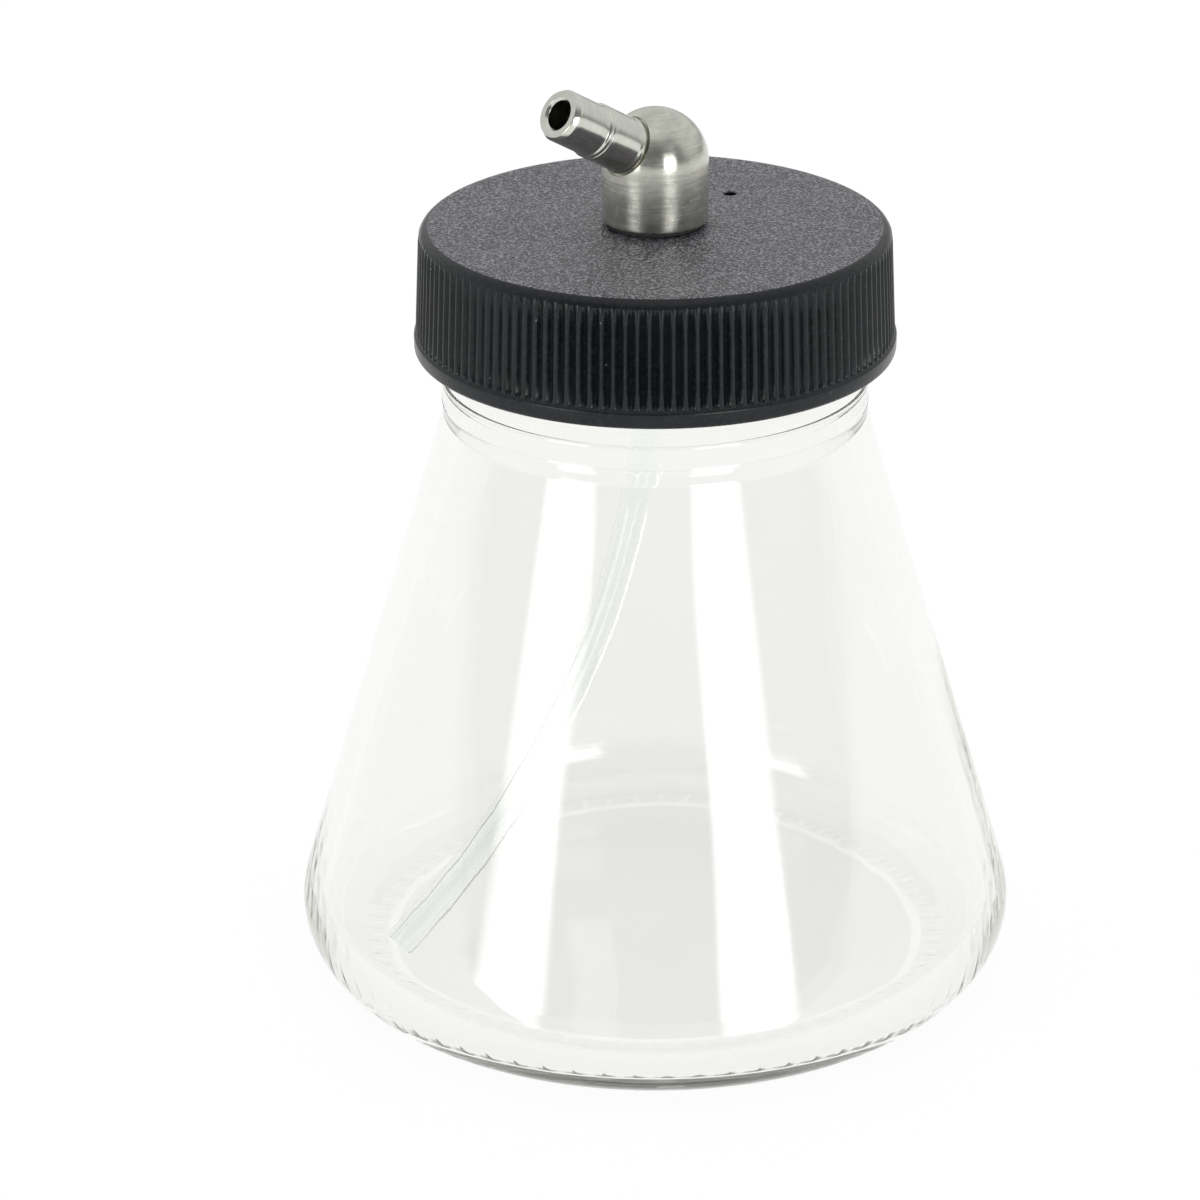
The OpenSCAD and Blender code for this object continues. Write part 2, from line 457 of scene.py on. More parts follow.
def helix_height(angle: Array, height: Array, start: float, pitch: float, turns: float) -> Array:
    """Signed height above the middle of the nearest turn of a helix that starts at `start`."""
    turn = np.clip(np.round((height - start) / pitch - angle / (2 * np.pi)), 0, math.ceil(turns))
    return height - start - pitch * (turn + angle / (2 * np.pi))


def helix_fade(angle: Array, height: Array, start: float, pitch: float, turns: float) -> Array:
    """1 along a helix of so many turns, falling to 0 within a twentieth of a turn of its ends."""
    turn = np.round((height - start) / pitch - angle / (2 * np.pi)) + angle / (2 * np.pi)
    return smoothstep(0, 0.06, turn) * smoothstep(0, 0.06, turns - turn)


class Solid:
    """A closed mesh put together from grids of points."""

    def __init__(self) -> None:
        """Starts with no points and no faces."""
        self.points: List[Array] = []
        self.quads: List[Array] = []
        self.count = 0

    def grid(self, points: Array, edge: Edge = Edge.LOOP) -> "Solid":
        """Adds a grid whose second direction goes round an axis.

        Args:
            points: (rows, segments, 3) array.
            edge: LOOP joins the last row to the first, POLES leaves the first and last rows as poles.

        Returns:
            This solid.
        """
        rows, segments = points.shape[:2]
        index = np.arange(rows * segments).reshape(rows, segments) + self.count
        if edge is Edge.LOOP:
            index = np.concatenate([index, index[:1]])
        index = np.concatenate([index, index[:, :1]], axis=1)
        corners = [index[:-1, :-1], index[:-1, 1:], index[1:, 1:], index[1:, :-1]]
        self.quads.append(np.stack(corners, -1).reshape(-1, 4))
        self.points.append(points.reshape(-1, 3))
        self.count += rows * segments
        return self

    def mesh(self, name: str, sharp: float = 40.0) -> bpy.types.Mesh:
        """The solid as a smooth mesh with outward faces, poles merged and edges sharper than `sharp` kept."""
        points = np.concatenate(self.points)
        quads = np.concatenate(self.quads)
        a, b, c, d = (points[quads[:, k]] for k in range(4))
        volume = np.einsum("ij,ij->i", a, np.cross(b, c) + np.cross(c, d)).sum()
        if volume < 0:
            quads = quads[:, ::-1]
        made = bpy.data.meshes.new(name)
        made.vertices.add(len(points))
        made.vertices.foreach_set("co", points.astype(np.float32).ravel())
        made.loops.add(quads.size)
        made.loops.foreach_set("vertex_index", quads.astype(np.int32).ravel())
        made.polygons.add(len(quads))
        made.polygons.foreach_set("loop_start", np.arange(0, quads.size, 4, dtype=np.int32))
        made.update(calc_edges=True)
        work = bmesh.new()
        work.from_mesh(made)
        bmesh.ops.remove_doubles(work, verts=work.verts, dist=1e-7)
        work.to_mesh(made)
        work.free()
        smooth(made, sharp)
        return made


def smooth(mesh: bpy.types.Mesh, sharp: float) -> None:
    """Shades a mesh smooth, and keeps each edge that turns by more than `sharp` degrees."""
    mesh.polygons.foreach_set("use_smooth", np.ones(len(mesh.polygons), bool))
    mesh.set_sharp_from_angle(angle=math.radians(sharp))
    mesh.update()


def carried(outline: Array, angles: Array) -> Tuple[Array, Array, Array]:
    """Radius, height and angle at each point of an outline carried round Z."""
    return outline[:, :1] + 0 * angles, outline[:, 1:] + 0 * angles, angles[None, :]


def turned(outline: Array, angles: Array, radius_shift: Union[float, Array] = 0.0) -> Array:
    """An outline carried round Z: (r cos a, r sin a, z) with r = outline radius + shift."""
    r = np.maximum(outline[:, :1] + radius_shift, 0) * np.ones_like(angles)[None, :]
    z = outline[:, 1:] * np.ones_like(angles)[None, :]
    return np.stack([r * np.cos(angles), r * np.sin(angles), z], -1)


def around(segments: int) -> Array:
    """Angles of so many equal segments of a full turn."""
    return np.linspace(0, 2 * np.pi, segments, endpoint=False)


def placed(name: str, data: bpy.types.ID) -> bpy.types.Object:
    """A new object for a mesh, a light or a camera, linked to the scene."""
    made = bpy.data.objects.new(name, data)
    bpy.context.scene.collection.objects.link(made)
    return made


def cut(mesh: bpy.types.Mesh, tool: bpy.types.Mesh, name: str, sharp: float = 30.0) -> bpy.types.Mesh:
    """The first mesh with the second one taken out of it."""
    body, cutter = (placed(f"{name}.{n}", m) for n, m in enumerate((mesh, tool)))
    change = body.modifiers.new("cut", "BOOLEAN")
    change.operation, change.solver, change.object = "DIFFERENCE", "MANIFOLD", cutter
    shown = body.evaluated_get(bpy.context.evaluated_depsgraph_get())
    made = bpy.data.meshes.new_from_object(shown)
    made.name = name
    made.materials.clear()
    for item in (body, cutter):
        bpy.data.objects.remove(item)
    smooth(made, sharp)
    return made


def piece(
    mesh: bpy.types.Mesh, body: str, node: str, finishes: Sequence[Finish]
) -> bpy.types.Object:
    """Puts a mesh in the scene in place of a CAD node.

    Args:
        mesh: the finished mesh, in its place.
        body: the body that the piece rides on.
        node: the CAD node that it stands for.
        finishes: one finish for each material index of the mesh.

    Returns:
        The new object.
    """
    made = placed(mesh.name, mesh)
    for finish in finishes:
        mesh.materials.append(finish.material())
    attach(made, body)
    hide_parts(node)
    LOG.info("%s: %d faces on body %s, for node %s", mesh.name, len(mesh.polygons), body, node)
    return made


def extent(node: str) -> Tuple[Vector, Vector]:
    """Lowest and highest corner of a CAD node."""
    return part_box(node)


# ----------------------------------------
# Sub-assemblies


@dataclass
class Jar:
    """The conical glass jar with its heel, collar, threaded neck and stippled foot."""

    radius: float = field(default_factory=lambda: extent("glass_jar")[1].x)
    rim: float = field(default_factory=lambda: extent("glass_jar")[1].z)
    heel: float = 5.5 * MM
    slope: float = math.radians(16.6)
    wall: float = 2.1 * MM
    floor: float = 2.2 * MM
    inner_heel: float = 4.0 * MM
    push_up: float = 1.5 * MM
    foot_in: float = 22.5 * MM
    collar: float = 17.65 * MM
    collar_top: float = 53.1 * MM
    neck: float = 17.0 * MM
    neck_foot: float = 17.49 * MM
    mouth: float = 15.3 * MM
    pitch: float = 4.233 * MM
    thread_start: float = 57.0 * MM
    thread_turns: float = 405 / 360
    thread_height: float = 1.15 * MM
    seam_drop: float = 2.05 * MM
    seam_height: float = 0.06 * MM
    seam_width: float = 0.1 * MM
    marks: int = 64
    mark_depth: float = 0.11 * MM
    mark_least: float = 0.15
    mark_deepest: float = math.radians(-40.5)
    mark_phase: float = 0.16
    mark_width: float = 0.07
    mark_middle: float = 25.2 * MM
    mark_lean: float = 24 * MM
    mark_start: Tuple[float, float] = (23.5 * MM, 24.0 * MM)
    mark_end: Tuple[float, float] = (25.3 * MM, 25.9 * MM)
    waves: Tuple[Tuple[float, int, float, float], ...] = (
        (0.07 * MM, 2, 14 * MM, 0.0),
        (0.05 * MM, 3, -9 * MM, 1.3),
        (0.025 * MM, 7, 6 * MM, 0.0),
    )

    def angles(self) -> Array:
        """Angles round the jar, gathered where the foot's marks are."""
        shares = np.array([0.0, 0.07, 0.13, 0.19, 0.25, 0.32, 0.5, 0.75])
        return ((np.arange(self.marks)[:, None] + shares) / self.marks).ravel() * 2 * np.pi

    def dome(self, height: float, count: int) -> Array:
        """The push-up from the middle outwards: z = height + rise * (1 - (r / foot)^2)^2, flat at the foot."""
        share = np.linspace(0, 1, count)
        return np.stack([self.foot_in * share, height + self.push_up * (1 - share**2) ** 2], 1)

    def cone(self, inset: float, height: float) -> float:
        """Radius of the cone, moved inwards by inset, at a height: r cos s + z sin s is constant on it."""
        reach = (self.radius - self.heel) * math.cos(self.slope) + self.heel * (1 + math.sin(self.slope))
        return (reach - inset - height * math.sin(self.slope)) / math.cos(self.slope)

    def height_at(self, inset: float, radius: float) -> float:
        """Height at which the cone, moved inwards by inset, has the given radius."""
        return (self.cone(inset, 0.0) - radius) / math.tan(self.slope)

    def outside(self) -> Array:
        """Outline from the middle of the foot up to the rim, with rows gathered at the collar's seam."""
        ring = refined(np.array([[self.foot_in, 0], [self.radius - self.heel, 0]]), 0.4 * MM)
        foot = np.concatenate([self.dome(0.0, 15)[:-1], ring])
        drops = (2.45, 2.35, 2.24, 2.15, 2.05, 1.95, 1.86, 0.12)
        side = [(self.collar, self.collar_top - drop * MM, 0) for drop in drops]
        wall = rounded(
            [
                (self.radius - self.heel, 0, 0),
                (self.cone(0, 0), 0, self.heel),
                (self.collar, self.height_at(0, self.collar), 1.6 * MM),
                side[0],
            ],
            4 * MM,
            4.5,
        )
        neck = rounded(
            [
                *side,
                (self.collar - 0.10 * MM, self.collar_top, 0),
                (self.neck_foot, self.collar_top + 0.02 * MM, 0),
                (self.neck_foot, self.collar_top + 1.85 * MM, 0),
                (self.neck, self.collar_top + 2.4 * MM, 0),
                (self.neck, self.rim - 1 * MM, 0),
            ],
            0.32 * MM,
            15,
        )
        return np.concatenate([foot[:-1], wall[:-1], neck])

    def inside(self) -> Array:
        """Outline from the rim down to the middle of the floor."""
        wall = rounded(
            [
                (self.neck, self.rim - 1 * MM, 0),
                (self.neck, self.rim, 0.75 * MM),
                (self.mouth, self.rim, 0.75 * MM),
                (self.mouth, self.height_at(self.wall, self.mouth), 3 * MM),
                (self.cone(self.wall, self.floor), self.floor, self.inner_heel),
                (self.foot_in, self.floor, 0),
            ],
            3.5 * MM,
            6,
        )
        return np.concatenate([wall[:-1], self.dome(self.floor, 13)[::-1]])

    def thread(self, r: Array, z: Array, a: Array) -> Array:
        """Outward shift of the neck: a rounded ridge along a helix, only on the outside of the neck."""
        gap = helix_height(a, z, self.thread_start, self.pitch, self.thread_turns)
        fade = helix_fade(a, z, self.thread_start, self.pitch, self.thread_turns)
        on_neck = (np.abs(r - self.neck) < 0.01 * MM) & (z > self.collar_top + 2.4 * MM)
        ridge = 1 - smoothstep(0.4 * MM, 1.15 * MM, np.abs(gap))
        return self.thread_height * ridge * fade * on_neck

    def stipple(self, r: Array, a: Array) -> Array:
        """Depth of the foot's marks: short slanted grooves, each a rounded dent in angle and in radius.

        Their depth falls off round the foot as the cube of a raised cosine.
        """
        slant = (r - self.mark_middle) / self.mark_lean
        share = np.mod(a * self.marks / (2 * np.pi) - self.mark_phase + slant + 0.5, 1.0) - 0.5
        across = np.exp(-((share / self.mark_width) ** 2))
        along = smoothstep(*self.mark_start, r) * (1 - smoothstep(*self.mark_end, r))
        nearness = (0.5 + 0.5 * np.cos(a - self.mark_deepest)) ** 3
        uneven = self.mark_least + (1 - self.mark_least) * nearness
        return self.mark_depth * uneven * across * along

    def ripple(self, z: Array, a: Array) -> Array:
        """Slow unevenness of a blown inner wall: size * sin(count * a + z / length + phase), summed."""
        total = sum(size * np.sin(count * a + z / length + phase) for size, count, length, phase in self.waves)
        return total * smoothstep(6 * MM, 14 * MM, z) * (1 - smoothstep(46 * MM, 52 * MM, z))

    def build(self) -> bpy.types.Object:
        """Builds the jar as one closed surface, outside and inside."""
        outer, inner = self.outside(), self.inside()[1:]
        angles = self.angles()
        r, z, a = carried(outer, angles)
        away = (z - self.collar_top + self.seam_drop) / self.seam_width
        seam = self.seam_height * np.exp(-(away**2))
        on_wall, on_foot, off_axis = z > 40 * MM, z < 3 * MM, inner[:, :1] > 5 * MM
        shape = turned(outer, angles, self.thread(r, z, a) + seam * on_wall)
        shape[..., 2] += self.stipple(r, a) * on_foot
        wall = turned(inner, angles, self.ripple(carried(inner, angles)[1], a) * off_axis)
        solid = Solid().grid(np.concatenate([shape, wall]), Edge.POLES)
        return piece(solid.mesh("jar_glass", 40), "jar", "glass_jar", [ClearGlass()])


@dataclass
class Cap:
    """The black screw cap: ribbed side, pebbled top, inside thread, shank hole and vent."""

    foot: float = field(default_factory=lambda: extent("screw_cap")[0].z)
    top: float = field(default_factory=lambda: extent("screw_cap")[1].z)
    radius: float = field(default_factory=lambda: extent("screw_cap")[1].x)
    bore: float = 18.4 * MM
    ceiling: float = 1.3 * MM
    band: float = 1.3 * MM
    rib_foot_r: float = 19.72 * MM
    rib_top_r: float = 19.38 * MM
    rib_depth: float = 0.50 * MM
    ribs: int = 129
    rib_samples: int = 10
    rib_foot_fade: Tuple[float, float] = (0.1 * MM, 0.6 * MM)
    rib_top_fade: Tuple[float, float] = (1.4 * MM, 0.9 * MM)
    shank_hole: float = 3.1 * MM
    vent_r: float = 0.55 * MM
    vent_flare: float = 0.15 * MM
    vent_at: float = 9.9 * MM
    vent_azimuth: float = math.radians(100.6)
    thread_height: float = 1.15 * MM
    jar: Jar = field(default_factory=Jar)

    def outline(self) -> Array:
        """Closed outline: up the outside, across the top, down the shank hole, and back along the inside."""
        top, foot = self.top, self.foot
        outside = rounded(
            [
                (self.bore + 0.5 * MM, foot, 0),
                (self.radius - 0.02 * MM, foot, 0.35 * MM),
                (self.radius, foot + self.band, 0.25 * MM),
                (self.rib_foot_r - 0.05 * MM, foot + self.band + 0.18 * MM, 0.1 * MM),
                (self.rib_foot_r, foot + self.band + 0.5 * MM, 0),
                (self.rib_top_r, top - 1.3 * MM, 0),
                (self.rib_top_r - 0.06 * MM, top, 1.1 * MM),
                (self.shank_hole, top, 0.12 * MM),
                (self.shank_hole, top - self.ceiling, 0),
                (self.bore, top - self.ceiling, 0.3 * MM),
                (self.bore, top - self.ceiling - 1 * MM, 0),
            ],
            1.3 * MM,
            18,
        )
        spans = np.linalg.norm(np.diff(outside, axis=0), axis=1)
        flat = (outside[:-1, 1] > top - 1e-6) | (np.abs(outside[:-1, 1] - (top - self.ceiling)) < 1e-6)
        keep = np.concatenate([[True], ~(flat & (spans < 1.35 * MM) & (np.arange(len(spans)) % 4 != 0))])
        outside = outside[keep]
        thread = rounded(
            [
                (self.bore, top - self.ceiling - 1 * MM, 0),
                (self.bore, foot + 0.5 * MM, 0),
                (self.bore + 0.5 * MM, foot, 0),
            ],
            0.36 * MM,
        )
        return np.concatenate([outside[:-1], thread[:-1]])

    def rib(self, r: Array, z: Array, a: Array) -> Array:
        """Inward shift between the ribs: a raised cosine round the cap, faded out at both ends of the ribs."""
        wave = (0.5 - 0.5 * np.cos(a * self.ribs)) ** 1.3
        low = smoothstep(*(self.foot + self.band + rise for rise in self.rib_foot_fade), z)
        high = 1 - smoothstep(*(self.top - drop for drop in self.rib_top_fade), z)
        on_side = r > self.bore + 0.55 * MM
        return -self.rib_depth * wave * low * high * on_side

    def thread(self, r: Array, z: Array, a: Array) -> Array:
        """Inward shift of the bore: a ridge on the jar's helix, just under the jar's own ridge."""
        start = self.jar.thread_start - 1.56 * MM + self.jar.pitch / 4
        a = np.mod(a - np.pi / 2, 2 * np.pi)
        turns = 342 / 360
        gap = helix_height(a, z, start, self.jar.pitch, turns)
        ridge = 1 - smoothstep(0.3 * MM, 0.88 * MM, np.abs(gap))
        fade = helix_fade(a, z, start, self.jar.pitch, turns)
        return -self.thread_height * ridge * fade * (np.abs(r - self.bore) < 1e-6)

    def drill(self) -> bpy.types.Mesh:
        """What the vent takes out of the top: a round hole with a flared mouth."""
        wide = self.vent_r + self.vent_flare
        outline = rounded(
            [
                (0, -1.5 * MM, 0),
                (self.vent_r, -1.5 * MM, 0),
                (self.vent_r, -0.1 * MM, 0),
                (wide, 0.05 * MM, 0),
                (wide, 0.5 * MM, 0),
                (0, 0.5 * MM, 0),
            ]
        )
        grid = turned(outline, around(40))
        a = self.vent_azimuth
        grid += [self.vent_at * math.cos(a), self.vent_at * math.sin(a), self.top]
        return Solid().grid(grid, Edge.POLES).mesh("vent_drill")

    def build(self) -> bpy.types.Object:
        """Builds the shell, cuts the vent, and gives the top its pebbled grain and a lighter colour with
        painted sheen.
        """
        outline = self.outline()
        angles = around(self.ribs * self.rib_samples)
        spots = carried(outline, angles)
        shift = self.rib(*spots) + self.thread(*spots)
        shell = Solid().grid(turned(outline, angles, shift)).mesh("cap_shell")
        mesh = cut(shell, self.drill(), "cap")
        centres = np.empty(len(mesh.polygons) * 3, np.float32)
        mesh.polygons.foreach_get("center", centres)
        centres = centres.reshape(-1, 3)
        on_top = centres[:, 2] > self.top - 0.06 * MM
        mesh.polygons.foreach_set("material_index", (~on_top).astype(np.int32))
        # The side is a darker copy of the top's plastic; the top's lighter colour and pale flecks are painted
        # sheen.
        side = GrainedPlastic(
            name="cap_side_plastic",
            colour=(0.004, 0.006, 0.007),
            worn=(0.008, 0.010, 0.012),
            painted_glint=(0.010, 0.012, 0.014),
            rough=(0.26, 0.36),
            shine=0.30,
            pebble=1800.0,
            grain=0.012 * MM,
            dust=0.5,
        )
        return piece(mesh, "cap", "screw_cap", [GrainedPlastic(), side])


@dataclass
class Fitting:
    """The metal siphon fitting: ball-ended body, stepped spout, gasket, washer and nut."""

    spout_angle: float = math.radians(30)
    ball_r: float = field(default_factory=lambda: extent("elbow_body")[1].x)
    top: float = field(default_factory=lambda: extent("elbow_body")[1].z)
    bottom: float = field(default_factory=lambda: extent("elbow_body")[0].z)
    gasket_top: float = field(default_factory=lambda: extent("body_gasket")[1].z)
    shank_r: float = 3.0 * MM
    tube_socket: float = 1.3 * MM
    passage: float = 1.0 * MM
    spout_r: float = 2.32 * MM
    spigot_r: float = 2.15 * MM
    spout_bore: float = 1.2 * MM
    spout_len: float = 11.7 * MM
    spigot_len: float = 3.9 * MM
    socket: float = 1.8 * MM
    groove: float = 0.18 * MM
    shank_pitch: float = 1.0 * MM
    shank_thread: float = 0.28 * MM
    nut_thread: float = 0.26 * MM
    ring_hole: float = 3.05 * MM
    seal_hole: float = 14.0 * MM

    @property
    def ball_z(self) -> float:
        """Height of the ball's centre."""
        return self.top - self.ball_r

    def along(self, points: Array) -> Array:
        """Turns points drawn about Z onto the spout's axis, which starts at the ball's centre."""
        lean = math.pi / 2 - self.spout_angle
        c, s = math.cos(lean), math.sin(lean)
        x, y, z = points[..., 0], points[..., 1], points[..., 2]
        return np.stack([x, y * c - z * s, y * s + z * c + self.ball_z], -1)

    def body(self) -> bpy.types.Object:
        """The body: a bored shank, a drum and a ball, drilled along the spout's axis."""
        drum = rounded(
            [
                (0, self.ball_z - 0.2 * MM, 0),
                (self.passage, self.ball_z - 0.6 * MM, 0),
                (self.passage, self.bottom + 4 * MM, 0),
                (self.tube_socket, self.bottom + 3.8 * MM, 0),
                (self.tube_socket, self.bottom, 0.1 * MM),
                (self.shank_r - 0.45 * MM, self.bottom, 0.1 * MM),
                (self.shank_r, self.bottom + 0.45 * MM, 0),
                (self.shank_r, self.gasket_top, 0),
                (self.ball_r - 0.02 * MM, self.gasket_top, 0.22 * MM),
                (self.ball_r, self.gasket_top + 1 * MM, 0),
                (self.ball_r, self.ball_z, 0),
            ],
            0.12 * MM,
            15,
        )
        sweep = np.linspace(0, np.pi / 2, 40)[1:]
        ball = np.stack([self.ball_r * np.cos(sweep), self.ball_z + self.ball_r * np.sin(sweep)], 1)
        outline = np.concatenate([drum, ball])
        angles = around(144)
        r, z, a = carried(outline, angles)
        phase = z / self.shank_pitch - a / (2 * np.pi)
        thread = -self.shank_thread * (0.5 + 0.5 * np.cos(2 * np.pi * phase))
        ends = smoothstep(self.bottom + 0.4 * MM, self.bottom + 0.9 * MM, z)
        ends = ends * (1 - smoothstep(self.gasket_top - 2.2 * MM, self.gasket_top - 1.7 * MM, z))
        shift = thread * ends * (np.abs(r - self.shank_r) < 1e-6)
        solid = Solid().grid(turned(outline, angles, shift), Edge.POLES).mesh("drum")
        seat = self.spout_r + self.groove
        reach = math.sqrt(self.ball_r**2 - seat**2)
        bit = rounded(
            [
                (0, 0, 0),
                (self.passage, 0, 0),
                (self.passage, self.socket, 0),
                (self.spout_r, self.socket, 0),
                (self.spout_r, reach - 0.45 * MM, 0),
                (seat, reach - 0.45 * MM, 0),
                (seat, reach - 0.04 * MM, 0.02 * MM),
                (seat + 0.5 * MM, reach + 0.35 * MM, 0),
                (seat + 0.5 * MM, reach + 3 * MM, 0),
                (0, reach + 3 * MM, 0),
            ],
            0.6 * MM,
        )
        tool = Solid().grid(self.along(turned(bit, around(96))), Edge.POLES).mesh("bit")
        mesh = cut(solid, tool, "fitting_body", 28)
        return piece(mesh, "siphon", "elbow_body", [TurnedMetal("drum_metal")])

    def spout(self) -> bpy.types.Object:
        """The stepped tube: a thick root in the ball, a turned groove, and a slimmer spigot."""
        step, end = self.spout_len - self.spigot_len, self.spout_len
        outline = rounded(
            [
                (self.spout_bore, self.socket, 0),
                (self.spout_r, self.socket, 0),
                (self.spout_r, self.ball_r - 0.75 * MM, 0),
                (self.spout_r + 0.05 * MM, self.ball_r - 0.65 * MM, 0.05 * MM),
                (self.spout_r + 0.05 * MM, self.ball_r - 0.35 * MM, 0.1 * MM),
                (self.spout_r - 0.01 * MM, self.ball_r - 0.15 * MM, 0.1 * MM),
                (self.spout_r - 0.02 * MM, step - 0.50 * MM, 0.05 * MM),
                (self.spout_r - 0.09 * MM, step - 0.44 * MM, 0.04 * MM),
                (self.spout_r - 0.09 * MM, step - 0.32 * MM, 0.04 * MM),
                (self.spout_r - 0.02 * MM, step - 0.26 * MM, 0.05 * MM),
                (self.spout_r - 0.03 * MM, step - 0.1 * MM, 0.08 * MM),
                (self.spigot_r, step + 0.05 * MM, 0.12 * MM),
                (self.spigot_r - 0.01 * MM, end - 0.42 * MM, 0.05 * MM),
                (self.spigot_r - 0.24 * MM, end, 0.10 * MM),
                (self.spout_bore + 0.2 * MM, end, 0.06 * MM),
                (self.spout_bore, end - 0.2 * MM, 0.1 * MM),
                (self.spout_bore, end - 2 * MM, 0),
            ],
            0.6 * MM,
            15,
        )
        grid = self.along(turned(outline, around(128)))
        finish = TurnedMetal(
            "spout_metal",
            colour=(0.69, 0.69, 0.625),
            shade=(0.59, 0.595, 0.54),
            rough=(0.13, 0.21),
            spread=0.0,
            depth=0.0015 * MM,
            turn=(-(math.pi / 2 - self.spout_angle), 0.0, 0.0),
            at=(0.0, 0.0, self.ball_z),
        )
        return piece(Solid().grid(grid).mesh("spout"), "siphon", "spout_tube", [finish])

    def ring(
        self, name: str, body: str, node: str, slot: str, finish: Finish, inner: float, fillet: float
    ) -> bpy.types.Object:
        """A flat ring with softened edges in the place of a CAD ring.

        Args:
            name: the piece's name.
            body: the body that it rides on.
            node: the CAD node that it stands for.
            slot: the material slot of the record; not used.
            finish: its finish.
            inner: the radius of its hole.
            fillet: the radius of its edges.

        Returns:
            The new object.
        """
        low, high = extent(node)
        outline = rounded(
            [
                ((inner + high.x) / 2, low.z, 0),
                (high.x, low.z, fillet),
                (high.x, high.z, fillet),
                (inner, high.z, fillet),
                (inner, low.z, fillet),
                ((inner + high.x) / 2, low.z, 0),
            ],
            0.8 * MM,
            22,
        )[:-1]
        mesh = Solid().grid(turned(outline, around(128))).mesh(name, 50)
        return piece(mesh, body, node, [finish])

    def nut(self) -> bpy.types.Object:
        """A hexagon nut: r = flats / cos(angle from the nearest flat), held inside a cone at each end."""
        low, high = extent("hex_nut")
        flats = high.y
        rows = refined(np.array([[0, low.z], [0, high.z]]), 0.14 * MM)[:, 1]
        angles = around(144)
        hexagon = flats / np.cos(np.mod(angles, np.pi / 3) - np.pi / 6)
        near = np.minimum(rows - low.z, high.z - rows)[:, None]
        outer = np.minimum(hexagon[None, :], flats * 1.005 + near * 1.9)
        phase = rows[:, None] / self.shank_pitch - angles[None, :] / (2 * np.pi)
        ridge = 0.5 + 0.5 * np.cos(2 * np.pi * phase)
        inner = self.shank_r - self.nut_thread * ridge * smoothstep(0, 0.5 * MM, near)
        z = rows[:, None] + 0 * angles
        walls = [np.stack([r * np.cos(angles), r * np.sin(angles), z], -1) for r in (outer, inner)]
        solid = Solid().grid(np.concatenate([walls[0], walls[1][::-1]]))
        finish = TurnedMetal("nut_metal", rings=2600.0, rough=(0.25, 0.4))
        return piece(solid.mesh("clamp_nut", 25), "siphon", "hex_nut", [finish])

    def build(self) -> None:
        """Builds every piece of the fitting."""
        self.body()
        self.spout()
        matt = SoftRubber("gasket_matt")
        steel = TurnedMetal("washer_metal", rough=(0.25, 0.4))
        foam = SoftRubber("pale_foam", (0.62, 0.62, 0.58), (0.80, 0.80, 0.76))
        hole = self.ring_hole
        self.ring("fitting_gasket", "siphon", "body_gasket", "gasket_rubber", matt, hole, 0.08 * MM)
        self.ring("washer", "siphon", "flat_washer", "washer_steel", steel, hole, 0.1 * MM)
        self.ring("cap_seal", "seal", "seal_ring", "seal_foam", foam, self.seal_hole, 0.15 * MM)
        self.nut()


@dataclass
class DipTube:
    """The bent plastic tube from the fitting to the jar's heel."""

    radius: float = 1.3 * MM
    bore: float = 0.8 * MM
    bend_r: float = 71.9 * MM
    bend_z: float = 58.5 * MM
    turn: float = math.radians(48)
    azimuth: float = math.radians(255.5)
    top: float = field(default_factory=lambda: extent("dip_tube")[1].z)

    def route(self) -> Tuple[Array, Array]:
        """Points along the tube and its direction: a straight drop, then an arc of one radius.

        Returns:
            (n, 2) points as (distance from the axis, height) and (n, 2) unit tangents.
        """
        drop = np.linspace(self.top, self.bend_z, 12)[:-1]
        bend = np.linspace(0, self.turn, 300)
        straight = np.stack([0 * drop, drop], 1)
        arc = np.stack([self.bend_r * (1 - np.cos(bend)), self.bend_z - self.bend_r * np.sin(bend)], 1)
        down = np.stack([0 * drop, 0 * drop - 1], 1)
        lean = np.stack([np.sin(bend), -np.cos(bend)], 1)
        return np.concatenate([straight, arc]), np.concatenate([down, lean])

    def build(self) -> bpy.types.Object:
        """Carries the outer and the inner circle along the route and joins them at both ends."""
        points, tangents = self.route()
        angles = around(64)
        sides: List[Array] = []
        for radius, order in ((self.radius, 1), (self.bore, -1)):
            path, lead = points[::order], tangents[::order]
            out = radius * np.cos(angles)[None, :]
            reach = path[:, :1] - lead[:, 1:] * out
            height = path[:, 1:] + lead[:, :1] * out
            across = radius * np.sin(angles)[None, :] + 0 * reach
            c, s = math.cos(self.azimuth), math.sin(self.azimuth)
            sides.append(np.stack([reach * c - across * s, reach * s + across * c, height], -1))
        solid = Solid().grid(np.concatenate(sides))
        return piece(solid.mesh("dip_hose", 50), "siphon", "dip_tube", [MilkyTube()])


# ----------------------------------------
# Studio


@dataclass(frozen=True)
class Softbox:
    """A bright rectangle: its name, turn from the camera in degrees, width, height and radiance."""

    name: str
    turn: float
    size: Tuple[float, float]
    radiance: float


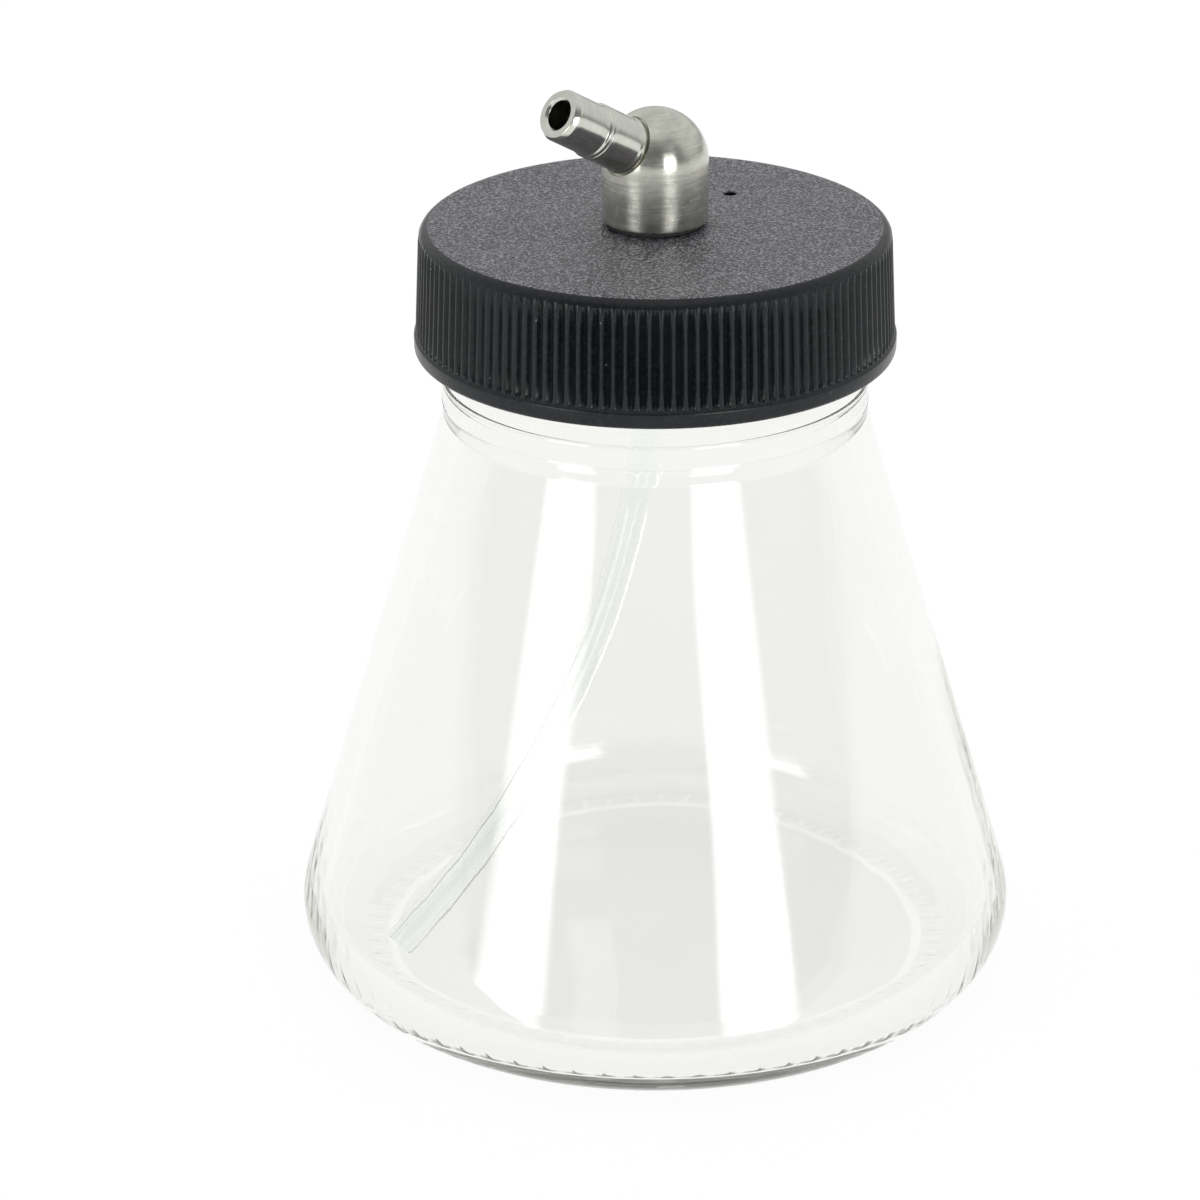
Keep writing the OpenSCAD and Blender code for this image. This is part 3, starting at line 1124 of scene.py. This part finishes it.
@dataclass
class Studio:
    """Pale floor, soft light and the camera."""

    camera_azimuth: float = math.radians(49.5)
    camera_distance: float = 321.05 * MM
    camera_height: float = 172.6 * MM
    camera_pitch: float = math.radians(23.607)
    lens: float = 124.0
    shift: float = -0.0461
    floor_half: float = 6.0
    front: float = 0.22
    low: float = 0.40
    above: float = 0.88
    bright: float = 0.80
    side_span: Tuple[float, float] = (0.65, 0.0)
    horizon: Tuple[float, float] = (0.0, 0.22)
    zenith: Tuple[float, float] = (0.72, 0.94)
    boxes: Tuple[Softbox, ...] = (
        Softbox("left_box", -46, (0.44, 0.54), 4.6),
        Softbox("right_box", 32, (0.46, 0.54), 5.4),
    )
    box_distance: float = 0.95
    box_height: float = 0.17
    box_aim: float = 0.04
    soft_edge: float = 0.16
    bounces: int = 32

    def spot(self, turn: float, distance: float, height: float) -> Vector:
        """A point at a turn, in degrees to the right, from the camera's side of the object."""
        a = self.camera_azimuth + math.radians(turn)
        return Vector((distance * math.sin(a), -distance * math.cos(a), height))

    def floor(self) -> None:
        """One large square of paper under the object."""
        h = self.floor_half
        mesh = bpy.data.meshes.new("floor")
        mesh.from_pydata([(-h, -h, 0), (h, -h, 0), (h, h, 0), (-h, h, 0)], [], [(0, 1, 2, 3)])
        mesh.materials.append(PaleFloor().material())
        placed("floor", mesh)

    def panel(self, box: Softbox) -> None:
        """A softbox as an area light that faces the jar and fades towards its edges."""
        data = bpy.data.lights.new(box.name, "AREA")
        data.shape = "RECTANGLE"
        data.size, data.size_y = box.size
        data.energy = box.radiance * math.pi * box.size[0] * box.size[1]
        graph = Graph(data)
        spot = graph.call("ShaderNodeNewGeometry", {}, {}, "Parametric")
        across, along, _ = graph.axes(spot)
        edge = self.soft_edge
        fade = across.between(0.0, edge) * across.between(1.0, 1.0 - edge)
        fade = fade * along.between(0.0, edge) * along.between(1.0, 1.0 - edge)
        glow = graph.call("ShaderNodeEmission", {}, {"Strength": fade})
        graph.node("ShaderNodeOutputLight", {}, {"Surface": glow})
        lamp = placed(box.name, data)
        lamp.location = self.spot(box.turn, self.box_distance, self.box_height)
        aim = Vector((0, 0, self.box_aim)) - lamp.location
        lamp.rotation_euler = aim.to_track_quat("-Z", "Y").to_euler()

    def sky(self) -> None:
        """A room that is bright above, behind and at the sides, and darker in front and near the floor."""
        world = bpy.data.worlds.new("room")
        bpy.context.scene.world = world
        graph = Graph(world)
        way = graph.call("ShaderNodeTexCoord", {}, {}, "Generated")
        toward = (math.sin(self.camera_azimuth), -math.cos(self.camera_azimuth), 0.0)
        height = graph.axes(way)[2]
        walls = graph.along(way, toward).between(*self.side_span, self.front, self.bright)
        walls = walls * height.between(*self.horizon, self.low, 1.0)
        level = graph.maths("MAXIMUM", walls, height.between(*self.zenith, self.front, self.above))
        back = graph.call("ShaderNodeBackground", {}, {"Color": (1.0, 1.0, 1.0, 1.0), "Strength": level})
        graph.node("ShaderNodeOutputWorld", {}, {"Surface": back})

    def camera(self) -> None:
        """The camera, level from side to side, looking down at the object."""
        data = bpy.data.cameras.new("camera")
        data.lens, data.sensor_width, data.shift_x = self.lens, 36.0, self.shift
        data.clip_start, data.clip_end = 0.01, 50.0
        made = placed("camera", data)
        made.location = self.spot(0, self.camera_distance, self.camera_height)
        made.rotation_euler = (math.pi / 2 - self.camera_pitch, 0, self.camera_azimuth)
        bpy.context.scene.camera = made

    def build(self) -> None:
        """Sets up the camera, the floor, the light, and enough bounces for light inside thick glass."""
        self.camera()
        self.floor()
        self.sky()
        for box in self.boxes:
            self.panel(box)
        scene = bpy.context.scene
        scene.view_settings.view_transform = "Standard"
        scene.cycles.max_bounces = self.bounces
        scene.cycles.glossy_bounces = self.bounces
        scene.cycles.transmission_bounces = self.bounces


def main() -> None:
    """Builds the studio and every piece of the bottle."""
    logging.basicConfig(level=logging.INFO, format="%(name)s: %(message)s")
    Studio().build()
    jar = Jar()
    jar.build()
    Cap(jar=jar).build()
    Fitting().build()
    DipTube().build()


if __name__ == "__main__":
    main()
